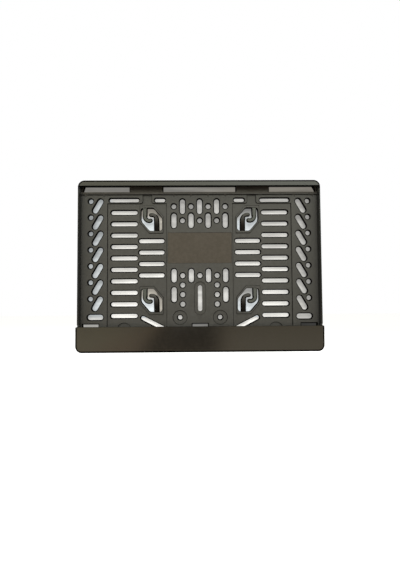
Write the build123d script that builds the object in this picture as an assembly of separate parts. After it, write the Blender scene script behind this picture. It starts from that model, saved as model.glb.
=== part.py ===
from build123d import *
import math
import os

# Number plate holder: a slotted frame moulding with a glossy strip that clips over its lower edge.
# Millimetres. X runs along the width, Z is up and the front faces -Y. The mounting plane is Y = 0,
# and every depth is measured forward from it.

# Number plate that the holder takes, and its play in the frame
PLATE_W = 340.0
PLATE_H = 210.0
PLATE_SIDE_PLAY = 1.4
PLATE_TOP_PLAY = 0.8
PLATE_BOTTOM_PLAY = 0.5

# Frame walls and lip
SIDE_WALL = 2.6
TOP_WALL = 2.4
BOTTOM_WALL = 2.2
FRAME_CORNER_R = 9.5
RIM_EDGE = 1.3
RIM_H = 9.0
LIP_H = 8.3
LIP_T = 2.6

# Panel: slotted bays, with the side zones, the centre zone and the pads standing in front of them
STAND_OFF = 2.0
PANEL_T = 3.2
ZONE_STEP = 1.3
SIDE_ZONE_W = 37.9
CENTRE_ZONE_W = 96.4
PAD_CORNER_R = 2.9
PAD_H = 12.8
RIB_T = 1.8

# Rail under the top windows, with the webs that brace it
RAIL_H = 3.4
RAIL_RISE = 2.0
WEB_T = 2.4
WEB_REACH = 3.6
WEB_SETBACK = 0.8
SIDE_ZONE_WEB_INSETS = (5.0, 31.8)

# Top windows between the rail and the top wall
TOP_WINDOW_H = 12.9
TOP_WINDOW_BRIDGE = 49.5
TOP_WINDOW_CENTRE_EXTRA = 4.4
TOP_WINDOW_END_GAP = 2.2
TOP_WINDOW_END_SLANT = 4.3

# Flats that stand for each round end of a repeated slot, and for each half of a repeated round hole
END_FLATS = 6

# Horizontal slots of the bays. The outer slots of the fixing rows take the screws and have true round ends.
SLOT_H = 5.7
FIXING_ROWS = (2, 7)
SLOT_PITCH = 16.7
SLOT_FIRST_DROP = 12.8
SLOT_STRIP_CLEAR = 10.0
INNER_SLOT_L = 36.8
SLOT_OUTER_MARGIN = 4.7
SLOT_INNER_MARGIN = 3.3
SLOT_COLUMN_GAP = 2.1
SLOT_WINDOW_CLEAR = 8.0

# Slots in the pads
PAD_SLOT_H = 5.1
PAD_SLOT_DROP = 7.9
PAD_SLOT_EXTRA = 2.3
PAD_END = 5.9
SMALL_SLOT_L = 15.1
SMALL_SLOT_MARGIN = 1.9
SMALL_PAD_END = 4.5

# Round holes, slanted slots and the end slot of the side zones
EDGE_HOLE_D = 6.8
EDGE_HOLE_INSET = 13.5
EDGE_HOLE_DROP = 9.3
EDGE_PITCH = 23.64
SLANT_SLOT_L = 22.8
SLANT_SLOT_W = 7.8
SLANT_ANGLE = 60.0
SLANT_INSET = 23.6
SLANT_DROP = 6.95
SLANT_GAP = 3.0
END_SLOT_L = 22.4
END_SLOT_W = 7.4
END_SLOT_INSET = 20.6
END_SLOT_RISE = 12.8

# Hole pattern of the centre zone
CENTRE_PITCH = 12.48
CENTRE_HOLE_D = 7.2
UPRIGHT = 90.0
UPRIGHT_W = 7.4
UPRIGHT_L = 21.6
ROW_C_UPRIGHT_L = 19.6
ROW_A_DROP = 17.0
ROW_B_DROP = 37.7
ROW_C_RISE = 72.4
HOLE_ROW_PITCH = 13.8
LONG_SLOT_L = 37.6
LONG_SLOT_W = 6.1
LONG_SLOT_RISE = 39.6
CHANNEL_MARGIN = 5.2
CHANNEL_DEPTH = 1.2
BARE_FIELD_MARGIN = 7.2
BARE_FIELD_SIDE = 2.0
BARE_FIELD_DEPTH = 0.3

# Dimple over the moulding gate, low on the centre zone
GATE_D = 5.0
GATE_DEPTH = 0.5
GATE_RISE = 12.8

# Screw holes with their round seats in front and collars behind
SCREW_D = 6.4
SCREW_SEAT_D = 20.0
SCREW_SEAT_DEPTH = 1.3
SCREW_COLLAR_D = 13.0
SCREW_CENTRE_X = 29.0
SCREW_CENTRE_RISE = 12.0
SCREW_BAY_DROP = 5.6

# Slanted slots below the lower finger windows
LOW_SLOT_L = 37.3
LOW_SLOT_W = 5.7
LOW_SLOT_ANGLE = 27.0
LOW_SLOT_END_INSET = 34.3
LOW_SLOT_RISE = 11.3

# Finger windows: a leaf outline in a raised rim, with two interlocking sprung fingers
WINDOW_W = 30.6
WINDOW_H = 33.6
WINDOW_SLANT_TOP = 2.6
WINDOW_SLANT_SIDE = 2.0
WINDOW_SQUARE_R = 4.5
WINDOW_SLANT_TOP_R = 5.0
WINDOW_SLANT_SIDE_R = 9.0
WINDOW_RIM_W = 1.8
WINDOW_RIM_END_W = 3.4
WINDOW_COLLAR_T = 2.2
WINDOW_UPPER_DROP = 23.2
WINDOW_LOWER_RISE = 36.9
FINGER_T = 2.6
FINGER_TIP_PROUD = 1.1
FINGER_ROOT_OVERLAP = 1.2
DOWN_FINGER_W = 7.0
DOWN_FINGER_HOOK_W = 6.5
DOWN_FINGER_BEND = (-3.3, 4.2)
DOWN_FINGER_BEND_R = 9.5
DOWN_FINGER_TURN = 108.0
DOWN_FINGER_ROOT_SETBACK = 0.5
UP_FINGER_W = 8.1
UP_FINGER_HOOK_W = 5.7
UP_FINGER_BEND = (0.2, -1.6)
UP_FINGER_BEND_R = 11.0
UP_FINGER_TURN = 98.0
UP_FINGER_SHOULDER = 4.2
UP_FINGER_ROOT_RISE = 0.8

# Lower strip
STRIP_H = 36.3
STRIP_T = 2.2
STRIP_WALL = 2.0
STRIP_OVERLAP = 4.1
STRIP_SIDE_PROUD = 1.5
STRIP_FRONT_PROUD = 1.6
STRIP_CORNER_R = 9.2
STRIP_TOP_CORNER_R = 2.0
STRIP_EDGE = 1.4
STRIP_BACK_GAP = 1.0
STRIP_REBATE_LEAD = 2.4
FIT = 0.3

# Snap hooks of the strip and their windows in the panel
HOOK_W = 14.0
HOOK_T = 2.4
HOOK_NOSE = 1.6
HOOK_NOSE_FLAT = 0.9
HOOK_TIP_GAP = 1.2
HOOK_INSET = 14.1
HOOK_WINDOW_SIDE = 4.0
HOOK_WINDOW_SHOW = 2.6

# Overrun of cutting shapes and overlap of joined shapes
CUT = 1.0
SINK = 0.3

# Widths and heights that follow
INNER_HALF_W = PLATE_W / 2 + PLATE_SIDE_PLAY
FRAME_HALF_W = INNER_HALF_W + SIDE_WALL
STRIP_HALF_W = FRAME_HALF_W + STRIP_SIDE_PROUD
SEAT_HALF_W = STRIP_HALF_W - STRIP_WALL - FIT
TOP_Z = (TOP_WALL + PLATE_TOP_PLAY + PLATE_H - STRIP_OVERLAP + STRIP_H) / 2
BOTTOM_Z = -TOP_Z
INNER_TOP_Z = TOP_Z - TOP_WALL
PLATE_BOTTOM_Z = INNER_TOP_Z - PLATE_TOP_PLAY - PLATE_H
STRIP_TOP_Z = PLATE_BOTTOM_Z + STRIP_OVERLAP
FRAME_BOTTOM_Z = BOTTOM_Z + STRIP_WALL + FIT
INNER_BOTTOM_Z = FRAME_BOTTOM_Z + BOTTOM_WALL
SEAT_CORNER_R = STRIP_CORNER_R - STRIP_WALL - FIT
RAIL_TOP_Z = INNER_TOP_Z - TOP_WINDOW_H
RAIL_Z = RAIL_TOP_Z - RAIL_H
PAD_Z = RAIL_Z - PAD_H

# Depths that follow
BAY_FRONT = STAND_OFF + PANEL_T
ZONE_BACK = STAND_OFF + ZONE_STEP
ZONE_FRONT = BAY_FRONT + ZONE_STEP
RAIL_FRONT = ZONE_FRONT + RAIL_RISE
RIM_FRONT = ZONE_FRONT + RIM_H
LIP_BACK = RIM_FRONT - LIP_T
STRIP_FRONT = RIM_FRONT + STRIP_FRONT_PROUD
STRIP_INNER = STRIP_FRONT - STRIP_T

# Columns of the bays, on the right-hand side
CENTRE_HALF_W = CENTRE_ZONE_W / 2
BAY_OUTER_X = INNER_HALF_W - SIDE_ZONE_W
INNER_SLOT_X = CENTRE_HALF_W + SLOT_INNER_MARGIN + INNER_SLOT_L / 2
INNER_SLOT_END_X = CENTRE_HALF_W + SLOT_INNER_MARGIN + INNER_SLOT_L
OUTER_SLOT_L = BAY_OUTER_X - SLOT_OUTER_MARGIN - INNER_SLOT_END_X - SLOT_COLUMN_GAP
OUTER_SLOT_X = BAY_OUTER_X - SLOT_OUTER_MARGIN - OUTER_SLOT_L / 2
PAD_SLOT_L = OUTER_SLOT_L + 2 * PAD_SLOT_EXTRA
OUTER_PAD_X = OUTER_SLOT_X - PAD_SLOT_L / 2 - PAD_END
SMALL_SLOT_X = CENTRE_HALF_W + SMALL_SLOT_MARGIN + SMALL_SLOT_L / 2
INNER_PAD_X = SMALL_SLOT_X + SMALL_SLOT_L / 2 + SMALL_PAD_END

# Rows
PAD_SLOT_Z = RAIL_Z - PAD_SLOT_DROP
SLOT_FIRST_Z = PAD_Z - SLOT_FIRST_DROP
WINDOW_UPPER_Z = PAD_Z - WINDOW_UPPER_DROP
WINDOW_LOWER_Z = STRIP_TOP_Z + WINDOW_LOWER_RISE
ROW_A_Z = RAIL_Z - ROW_A_DROP
ROW_B_Z = RAIL_Z - ROW_B_DROP
ROW_C_Z = STRIP_TOP_Z + ROW_C_RISE
END_SLOT_Z = STRIP_TOP_Z + END_SLOT_RISE
HOOK_TOP_Z = PLATE_BOTTOM_Z - PLATE_BOTTOM_PLAY
HOOK_BOTTOM_Z = HOOK_TOP_Z - HOOK_T
HOOK_XS = (HOOK_INSET - INNER_HALF_W, 0.0, INNER_HALF_W - HOOK_INSET)


def layer(sketch, start, end):
    """Solid of a flat outline, drawn in X and Z, between two depths."""
    plane = Plane(origin=(0, -start, 0), x_dir=(1, 0, 0), z_dir=(0, -1, 0))
    return extrude(plane * sketch, amount=end - start)


def side_profile(points, width, x):
    """Solid of an outline given as depth and Z, extruded along X and centred at x."""
    outline = make_face(Polyline([(-depth, z) for depth, z in points], close=True))
    plane = Plane(origin=(x, 0, 0), x_dir=(0, 1, 0), z_dir=(1, 0, 0))
    return extrude(plane * outline, amount=width / 2, both=True)


def block(x0, x1, z0, z1):
    """Flat rectangle between two x and two z values."""
    return Pos((x0 + x1) / 2, (z0 + z1) / 2) * Rectangle(x1 - x0, z1 - z0)


def rounded_box(half_w, z0, z1, low_r, high_r):
    """Flat box, symmetric about X = 0, with its lower and its upper corners rounded apart."""
    corners = [(-half_w, z0), (half_w, z0), (half_w, z1), (-half_w, z1)]
    return make_face(FilletPolyline(corners, radius=[low_r, low_r, high_r, high_r], close=True))


def slot(x, z, length, width, angle=0.0):
    """Slot at a place, turned by an angle, with flats at its ends."""
    points = []
    radius = width / 2
    for side in (1, -1):
        for step in range(END_FLATS + 1):
            turn = math.pi * (step / END_FLATS - 1 / 2)
            along = length / 2 - radius + radius * math.cos(turn)
            points.append((side * along, side * radius * math.sin(turn)))
    return Pos(x, z) * (Rot(0, 0, angle) * make_face(Polyline(points, close=True)))


def hole(x, z, diameter):
    """Round hole at a place, drawn with flats."""
    return Pos(x, z) * RegularPolygon(diameter / 2, 2 * END_FLATS)


def both_sides(outlines):
    """Outlines of the right-hand side and their mirror images."""
    return outlines + [mirror(outline, about=Plane.YZ) for outline in outlines]


def pocket_outline():
    """Inside of the frame walls."""
    low_r = SEAT_CORNER_R - BOTTOM_WALL
    high_r = FRAME_CORNER_R - SIDE_WALL
    return rounded_box(INNER_HALF_W, INNER_BOTTOM_Z, INNER_TOP_Z, low_r, high_r)


def bay_outlines():
    """The two slotted bays, each with a notch that runs up between its pads to the rail."""
    corners = [
        (CENTRE_HALF_W, INNER_BOTTOM_Z),
        (BAY_OUTER_X, INNER_BOTTOM_Z),
        (BAY_OUTER_X, PAD_Z),
        (OUTER_PAD_X, PAD_Z),
        (OUTER_PAD_X, RAIL_Z),
        (INNER_PAD_X, RAIL_Z),
        (INNER_PAD_X, PAD_Z),
        (CENTRE_HALF_W, PAD_Z),
    ]
    radii = [0, 0, 0, PAD_CORNER_R, 0, 0, PAD_CORNER_R, 0]
    return both_sides([make_face(FilletPolyline(corners, radius=radii, close=True))])


def window_corners():
    """Corners of a left-hand finger window about its own centre."""
    w = WINDOW_W / 2
    h = WINDOW_H / 2
    return [
        (-w, h),
        (WINDOW_SLANT_TOP, h),
        (w, WINDOW_SLANT_SIDE),
        (w, -h),
        (-WINDOW_SLANT_TOP, -h),
        (-w, -WINDOW_SLANT_SIDE),
    ]


def window_outline():
    """Leaf outline of a left-hand finger window."""
    half = [WINDOW_SQUARE_R, WINDOW_SLANT_TOP_R, WINDOW_SLANT_SIDE_R]
    return make_face(FilletPolyline(window_corners(), radius=half + half, close=True))


def window_border(width):
    """Outline with sharp corners, a width outside a left-hand finger window."""
    return offset(make_face(Polyline(window_corners(), close=True)), width, kind=Kind.INTERSECTION)


def window_rim():
    """Outline of the raised rim of a left-hand finger window, wider above and below than beside it."""
    border = window_border(WINDOW_RIM_W)
    stretch = WINDOW_RIM_END_W - WINDOW_RIM_W
    return Pos(0, stretch) * border + Pos(0, -stretch) * border


def window_places():
    """Centres of the finger windows, each with the outline's side: -1 as drawn, 1 mirrored."""
    return [
        (side * INNER_SLOT_X, z, side)
        for side in (-1, 1)
        for z in (WINDOW_UPPER_Z, WINDOW_LOWER_Z)
    ]


def at_windows(outline):
    """Copies of a left-hand outline at the four finger windows, mirrored on the right."""
    flipped = mirror(outline, about=Plane.YZ)
    return [Pos(x, z) * (outline if side < 0 else flipped) for x, z, side in window_places()]


def hook(bend, radius, width, start, turn):
    """Bent end of a finger about its bend's centre, from a start angle to its blunt tip."""
    centre_line = CenterArc(bend, radius - width / 2, start, turn)
    tip = centre_line @ 1
    return trace(centre_line, width) + hole(tip.X, tip.Y, width)


def down_finger_outline():
    """Finger that hangs from the window's top edge and hooks towards the middle."""
    bend_x, bend_z = DOWN_FINGER_BEND
    left = bend_x - DOWN_FINGER_BEND_R
    stem = block(left, left + DOWN_FINGER_W, bend_z, WINDOW_H / 2 + FINGER_ROOT_OVERLAP)
    return stem + hook(DOWN_FINGER_BEND, DOWN_FINGER_BEND_R, DOWN_FINGER_HOOK_W, 180, DOWN_FINGER_TURN)


def up_finger_outline():
    """Finger that rises from the window's bottom edge and hooks back over the other one."""
    bend_x, bend_z = UP_FINGER_BEND
    right = bend_x + UP_FINGER_BEND_R
    left = right - UP_FINGER_W
    stem = block(left, right, -WINDOW_H / 2 - FINGER_ROOT_OVERLAP, bend_z)
    shoulder = block(left, right - UP_FINGER_HOOK_W, bend_z, bend_z + UP_FINGER_SHOULDER)
    return stem + shoulder + hook(UP_FINGER_BEND, UP_FINGER_BEND_R, UP_FINGER_HOOK_W, 0, UP_FINGER_TURN)


def finger_slope(x, root, root_z, tip_z):
    """Sloping slab that a finger is cut from: from its root's depth to in front of the zones at its tip."""
    tip = ZONE_FRONT + FINGER_TIP_PROUD - FINGER_T
    profile = [(root, root_z), (root + FINGER_T, root_z), (tip + FINGER_T, tip_z), (tip, tip_z)]
    return side_profile(profile, WINDOW_W, x)


def fingers():
    """The sprung fingers of all four windows."""
    reach = WINDOW_H / 2 + FINGER_ROOT_OVERLAP
    down_root = ZONE_FRONT - DOWN_FINGER_ROOT_SETBACK - FINGER_T
    down_tip = DOWN_FINGER_BEND[1] - DOWN_FINGER_BEND_R
    up_tip = UP_FINGER_BEND[1] + UP_FINGER_BEND_R
    kinds = [
        (down_finger_outline(), down_root, reach, down_tip),
        (up_finger_outline(), UP_FINGER_ROOT_RISE, -reach, up_tip),
    ]
    made = []
    for outline, root, root_z, tip_z in kinds:
        for placed, (x, z, _) in zip(at_windows(outline), window_places()):
            prism = layer(placed, 0, RIM_FRONT)
            made.append(prism & finger_slope(x, root, z + root_z, z + tip_z))
    return made


def bay_slots():
    """Horizontal slots of the right-hand bay and its pads."""
    slots = [slot(OUTER_SLOT_X, PAD_SLOT_Z, PAD_SLOT_L, PAD_SLOT_H)]
    slots.append(slot(SMALL_SLOT_X, PAD_SLOT_Z, SMALL_SLOT_L, PAD_SLOT_H))
    outer_rows = int((SLOT_FIRST_Z - STRIP_TOP_Z - SLOT_STRIP_CLEAR) / SLOT_PITCH) + 1
    for row in range(outer_rows):
        z = SLOT_FIRST_Z - row * SLOT_PITCH
        if row in FIXING_ROWS:
            slots.append(Pos(OUTER_SLOT_X, z) * SlotOverall(OUTER_SLOT_L, SLOT_H))
        else:
            slots.append(slot(OUTER_SLOT_X, z, OUTER_SLOT_L, SLOT_H))
    highest = WINDOW_UPPER_Z - WINDOW_H / 2 - WINDOW_RIM_END_W - SLOT_WINDOW_CLEAR
    lowest = WINDOW_LOWER_Z + WINDOW_H / 2 + WINDOW_RIM_END_W + SLOT_WINDOW_CLEAR
    for row in range(outer_rows):
        z = SLOT_FIRST_Z - (row + 0.5) * SLOT_PITCH
        if lowest <= z <= highest:
            slots.append(slot(INNER_SLOT_X, z, INNER_SLOT_L, SLOT_H))
    low_reach = (LOW_SLOT_L - LOW_SLOT_W) / 2
    low_x = CENTRE_HALF_W + LOW_SLOT_END_INSET - low_reach * math.cos(math.radians(LOW_SLOT_ANGLE))
    low_z = STRIP_TOP_Z + LOW_SLOT_RISE - low_reach * math.sin(math.radians(LOW_SLOT_ANGLE))
    slots.append(slot(low_x, low_z, LOW_SLOT_L, LOW_SLOT_W, LOW_SLOT_ANGLE))
    return slots


def side_zone_holes():
    """Round holes, slanted slots and end slot of the right-hand side zone."""
    hole_z = RAIL_Z - EDGE_HOLE_DROP
    slant_x = INNER_HALF_W - SLANT_INSET
    slant_half_h = ((SLANT_SLOT_L - SLANT_SLOT_W) * math.sin(math.radians(SLANT_ANGLE)) + SLANT_SLOT_W) / 2
    lowest = END_SLOT_Z + END_SLOT_W / 2 + SLANT_GAP + slant_half_h
    holes = []
    for row in range(int((hole_z - SLANT_DROP - lowest) / EDGE_PITCH) + 1):
        z = hole_z - row * EDGE_PITCH
        holes.append(hole(INNER_HALF_W - EDGE_HOLE_INSET, z, EDGE_HOLE_D))
        holes.append(slot(slant_x, z - SLANT_DROP, SLANT_SLOT_L, SLANT_SLOT_W, -SLANT_ANGLE))
    holes.append(slot(INNER_HALF_W - END_SLOT_INSET, END_SLOT_Z, END_SLOT_L, END_SLOT_W))
    return holes


def centre_holes():
    """Round holes and upright slots of the centre zone."""
    holes = []
    for column in range(-3, 4):
        x = column * CENTRE_PITCH
        odd = column % 2 == 1
        rows = (
            (ROW_A_Z, not odd, UPRIGHT_L),
            (ROW_B_Z, odd, UPRIGHT_L),
            (ROW_C_Z, odd, ROW_C_UPRIGHT_L),
        )
        for z, slotted, length in rows:
            if slotted:
                holes.append(slot(x, z, length, UPRIGHT_W, UPRIGHT))
            else:
                holes.append(hole(x, z, CENTRE_HOLE_D))
    for side in (-1, 1):
        for row in (1, 2, 3):
            holes.append(hole(side * 2 * CENTRE_PITCH, ROW_C_Z - row * HOLE_ROW_PITCH, CENTRE_HOLE_D))
        side_slot_z = ROW_C_Z - 2 * HOLE_ROW_PITCH
        holes.append(slot(side * 3 * CENTRE_PITCH, side_slot_z, UPRIGHT_L, UPRIGHT_W, UPRIGHT))
    holes.append(slot(0, STRIP_TOP_Z + LONG_SLOT_RISE, LONG_SLOT_L, LONG_SLOT_W, UPRIGHT))
    return holes


def screw_places():
    """Centres of the screws in the centre zone and under the strip, each with the depth of its surface."""
    centre_z = STRIP_TOP_Z + SCREW_CENTRE_RISE
    bay_z = STRIP_TOP_Z - SCREW_BAY_DROP
    places = [(side * SCREW_CENTRE_X, centre_z, ZONE_FRONT) for side in (-1, 1)]
    return places + [(side * OUTER_SLOT_X, bay_z, BAY_FRONT) for side in (-1, 1)]


def top_windows():
    """Three windows under the lip, the outer two with slanted ends."""
    centre_half = CENTRE_HALF_W + TOP_WINDOW_CENTRE_EXTRA
    start = centre_half + TOP_WINDOW_BRIDGE
    end = INNER_HALF_W - TOP_WINDOW_END_GAP
    corners = [
        (start, RAIL_TOP_Z),
        (end, RAIL_TOP_Z),
        (end - TOP_WINDOW_END_SLANT, INNER_TOP_Z),
        (start, INNER_TOP_Z),
    ]
    outer = make_face(Polyline(corners, close=True))
    return [block(-centre_half, centre_half, RAIL_TOP_Z, INNER_TOP_Z)] + both_sides([outer])


def hook_windows():
    """Windows that the strip's snap hooks pass through."""
    low = HOOK_BOTTOM_Z - FIT
    high = STRIP_TOP_Z + HOOK_WINDOW_SHOW
    width = HOOK_W + 2 * HOOK_WINDOW_SIDE
    return [block(x - width / 2, x + width / 2, low, high) for x in HOOK_XS]


def back_stiffening():
    """Outlines that stay full depth behind the panel: ribs, screw collars and window collars."""
    ribs = [
        block(x - RIB_T / 2, x + RIB_T / 2, INNER_BOTTOM_Z, RAIL_Z)
        for x in (-BAY_OUTER_X, -CENTRE_HALF_W, CENTRE_HALF_W, BAY_OUTER_X)
    ]
    cross_rib = block(-CENTRE_HALF_W, CENTRE_HALF_W, -RIB_T / 2, RIB_T / 2)
    rail_rib = block(-INNER_HALF_W, INNER_HALF_W, RAIL_Z, RAIL_TOP_Z)
    collars = [hole(x, z, SCREW_COLLAR_D) for x, z, _ in screw_places()]
    window_collars = at_windows(window_border(WINDOW_COLLAR_T))
    return ribs + [cross_rib, rail_rib] + collars + window_collars


def rail_webs():
    """Small sloping webs between the rail and the zones below it."""
    centre_xs = [column * CENTRE_PITCH for column in (-3, -1, 1, 3)]
    side_xs = [BAY_OUTER_X + inset for inset in SIDE_ZONE_WEB_INSETS]
    top = RAIL_FRONT - WEB_SETBACK
    profile = [
        (ZONE_FRONT - SINK, RAIL_Z + SINK),
        (top, RAIL_Z + SINK),
        (top, RAIL_Z),
        (ZONE_FRONT, RAIL_Z - WEB_REACH),
        (ZONE_FRONT - SINK, RAIL_Z - WEB_REACH),
    ]
    return [side_profile(profile, WEB_T, x) for x in centre_xs + side_xs + [-x for x in side_xs]]


def frame_block():
    """Outer form of the frame, with broken front edges and a rebate that the strip's ends go over."""
    body = layer(rounded_box(FRAME_HALF_W, FRAME_BOTTOM_Z, TOP_Z, 0, FRAME_CORNER_R), 0, RIM_FRONT)
    front_edges = body.faces().sort_by(Axis.Y)[0].edges().sort_by(Axis.Z)
    body = chamfer(front_edges[1:], RIM_EDGE)
    below = block(-STRIP_HALF_W, STRIP_HALF_W, BOTTOM_Z, STRIP_TOP_Z + STRIP_REBATE_LEAD)
    rebate = below - rounded_box(SEAT_HALF_W, FRAME_BOTTOM_Z, TOP_Z, SEAT_CORNER_R, 0)
    front_seat = block(-STRIP_HALF_W, STRIP_HALF_W, BOTTOM_Z, STRIP_TOP_Z + FIT)
    return body - [
        layer(rebate, -CUT, RIM_FRONT + CUT),
        layer(front_seat, STRIP_INNER - FIT, RIM_FRONT + CUT),
    ]


def base_frame():
    """The frame moulding."""
    pocket = pocket_outline()
    bays = bay_outlines()
    rail = block(-INNER_HALF_W, INNER_HALF_W, RAIL_Z, RAIL_TOP_Z)
    below_lip = pocket & block(-FRAME_HALF_W, FRAME_HALF_W, BOTTOM_Z, TOP_Z - LIP_H)
    solid_behind = back_stiffening()
    rims = at_windows(window_rim())
    cuts = [
        layer(pocket - rail, ZONE_FRONT, RAIL_FRONT),
        layer(pocket, RAIL_FRONT, LIP_BACK),
        layer(below_lip, LIP_BACK, RIM_FRONT + CUT),
        layer(pocket - bays - solid_behind, -CUT, ZONE_BACK),
    ]
    for bay in bays:
        cuts.append(layer(bay - rims, BAY_FRONT, ZONE_FRONT))
        cuts.append(layer(bay - solid_behind, -CUT, STAND_OFF))
    through = both_sides(bay_slots() + side_zone_holes()) + centre_holes() + hook_windows() + top_windows()
    through += at_windows(window_outline())
    for x, z, front in screw_places():
        through.append(Pos(x, z) * Circle(SCREW_D / 2) if front == ZONE_FRONT else hole(x, z, SCREW_D))
    cuts += [layer(outline, -CUT, RAIL_FRONT) for outline in through]
    for x, z, front in screw_places():
        cuts.append(layer(Pos(x, z) * Circle(SCREW_SEAT_D / 2), front - SCREW_SEAT_DEPTH, RAIL_FRONT))
    channel_w = LONG_SLOT_W + 2 * CHANNEL_MARGIN
    channel = slot(0, STRIP_TOP_Z + LONG_SLOT_RISE, LONG_SLOT_L + 2 * CHANNEL_MARGIN, channel_w, UPRIGHT)
    cuts.append(layer(channel, ZONE_FRONT - CHANNEL_DEPTH, RAIL_FRONT))
    cuts.append(layer(hole(0, STRIP_TOP_Z + GATE_RISE, GATE_D), ZONE_FRONT - GATE_DEPTH, RAIL_FRONT))
    field_low = ROW_C_Z + UPRIGHT_L / 2 + BARE_FIELD_MARGIN
    field_high = ROW_B_Z - UPRIGHT_L / 2 - BARE_FIELD_MARGIN
    field_half = CENTRE_HALF_W - BARE_FIELD_SIDE
    bare_field = block(-field_half, field_half, field_low, field_high)
    cuts.append(layer(bare_field, ZONE_FRONT - BARE_FIELD_DEPTH, RAIL_FRONT))
    return frame_block() - cuts + rail_webs() + fingers()


def snap_hook(x):
    """Arm behind the strip's front wall, with a nose that latches behind the panel."""
    latch = ZONE_BACK - FIT
    profile = [
        (STRIP_INNER + SINK, HOOK_TOP_Z),
        (HOOK_TIP_GAP, HOOK_TOP_Z),
        (HOOK_TIP_GAP, HOOK_BOTTOM_Z),
        (latch - HOOK_NOSE_FLAT, HOOK_BOTTOM_Z - HOOK_NOSE),
        (latch, HOOK_BOTTOM_Z - HOOK_NOSE),
        (latch, HOOK_BOTTOM_Z),
        (STRIP_INNER + SINK, HOOK_BOTTOM_Z),
    ]
    return side_profile(profile, HOOK_W, x)


def lower_strip():
    """The clip-on strip: front, bottom and end walls with broken edges, and its snap hooks."""
    outline = rounded_box(STRIP_HALF_W, BOTTOM_Z, STRIP_TOP_Z, STRIP_CORNER_R, STRIP_TOP_CORNER_R)
    taller = rounded_box(STRIP_HALF_W, BOTTOM_Z, STRIP_TOP_Z + STRIP_H, STRIP_CORNER_R, 0)
    body = layer(taller, STRIP_BACK_GAP, STRIP_FRONT)
    body = chamfer(body.faces().sort_by(Axis.Y)[0].edges(), STRIP_EDGE) & layer(outline, 0, STRIP_FRONT)
    inner_r = STRIP_CORNER_R - STRIP_WALL
    inside = rounded_box(STRIP_HALF_W - STRIP_WALL, BOTTOM_Z + STRIP_WALL, STRIP_TOP_Z + CUT, inner_r, 0)
    return body - layer(inside, 0, STRIP_INNER) + [snap_hook(x) for x in HOOK_XS]


os.makedirs("parts", exist_ok=True)
for name, piece in (("base_frame", base_frame()), ("lower_strip", lower_strip())):
    export_step(piece, f"parts/{name}.step")
    print(name, "solids", len(piece.solids()), "volume", round(piece.volume), "valid", piece.is_valid)
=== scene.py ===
"""Number plate holder: softened mouldings, plastic finishes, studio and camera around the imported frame."""

from __future__ import annotations

import logging
import math
from dataclasses import dataclass, field, replace
from enum import Enum

import bmesh
import bpy
from mathutils import Matrix, Vector

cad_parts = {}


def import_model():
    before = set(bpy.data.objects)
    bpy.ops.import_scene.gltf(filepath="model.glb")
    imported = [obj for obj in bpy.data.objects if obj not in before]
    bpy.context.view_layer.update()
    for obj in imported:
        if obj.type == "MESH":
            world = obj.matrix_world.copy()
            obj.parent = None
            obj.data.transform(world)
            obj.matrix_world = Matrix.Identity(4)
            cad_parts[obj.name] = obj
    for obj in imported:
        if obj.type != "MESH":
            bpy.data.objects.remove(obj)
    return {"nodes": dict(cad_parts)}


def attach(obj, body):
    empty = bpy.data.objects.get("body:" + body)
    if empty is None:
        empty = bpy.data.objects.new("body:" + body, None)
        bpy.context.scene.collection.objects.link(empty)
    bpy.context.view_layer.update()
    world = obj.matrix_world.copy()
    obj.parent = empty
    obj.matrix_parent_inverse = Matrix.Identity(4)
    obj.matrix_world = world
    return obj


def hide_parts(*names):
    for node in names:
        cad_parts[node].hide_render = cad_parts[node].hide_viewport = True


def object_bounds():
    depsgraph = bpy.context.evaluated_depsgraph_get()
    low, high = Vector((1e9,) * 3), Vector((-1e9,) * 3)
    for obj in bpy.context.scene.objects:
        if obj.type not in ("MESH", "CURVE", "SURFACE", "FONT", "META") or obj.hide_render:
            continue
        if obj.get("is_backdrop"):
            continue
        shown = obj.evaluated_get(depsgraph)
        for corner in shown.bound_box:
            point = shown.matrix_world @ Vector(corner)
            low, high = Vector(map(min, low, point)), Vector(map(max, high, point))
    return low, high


LOG = logging.getLogger("number_plate_holder")
BODY = "root"
MM = 0.001

# Attributes of the mouldings' faces, which the finishes read
WEAR_HIGHLIGHT = "wear_highlight"
TEXTURED = "textured"
SHADED = "shaded"
BARE = "bare_field"
UP_FINGER = "up_finger"
DOWN_FINGER = "lit_down_finger"

# Limits of a face normal's Y part: a front, a front that doesn't slope, and a wall that runs back from it
FRONT_FACING = -0.985
LEVEL_FRONT = -0.9995
UPRIGHT_WALL = 0.2

# Places of the colour sockets on a Mix node
MIX_FIRST, MIX_SECOND, MIX_RESULT = 6, 7, 2

Colour = tuple[float, float, float, float]
WHITE: Colour = (1.0, 1.0, 1.0, 1.0)


class Socket(Enum):
    """Kinds of socket on the shader groups."""

    VALUE = "NodeSocketFloat"
    VECTOR = "NodeSocketVector"


class Ray(Enum):
    """Light Path outputs that the studio's surfaces answer to."""

    CAMERA = "Is Camera Ray"
    GLOSSY = "Is Glossy Ray"
    TRANSMISSION = "Is Transmission Ray"


class Wall(Enum):
    """Kinds of wall behind a front edge."""

    SQUARE = "square to a level front"
    FINGER = "side of a sloping finger"
    CHAMFER = "broken outer edge"


@dataclass(frozen=True)
class Span:
    """A span of a value, and the results at its two ends."""

    low: float
    high: float
    start: float = 0.0
    end: float = 1.0


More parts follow.
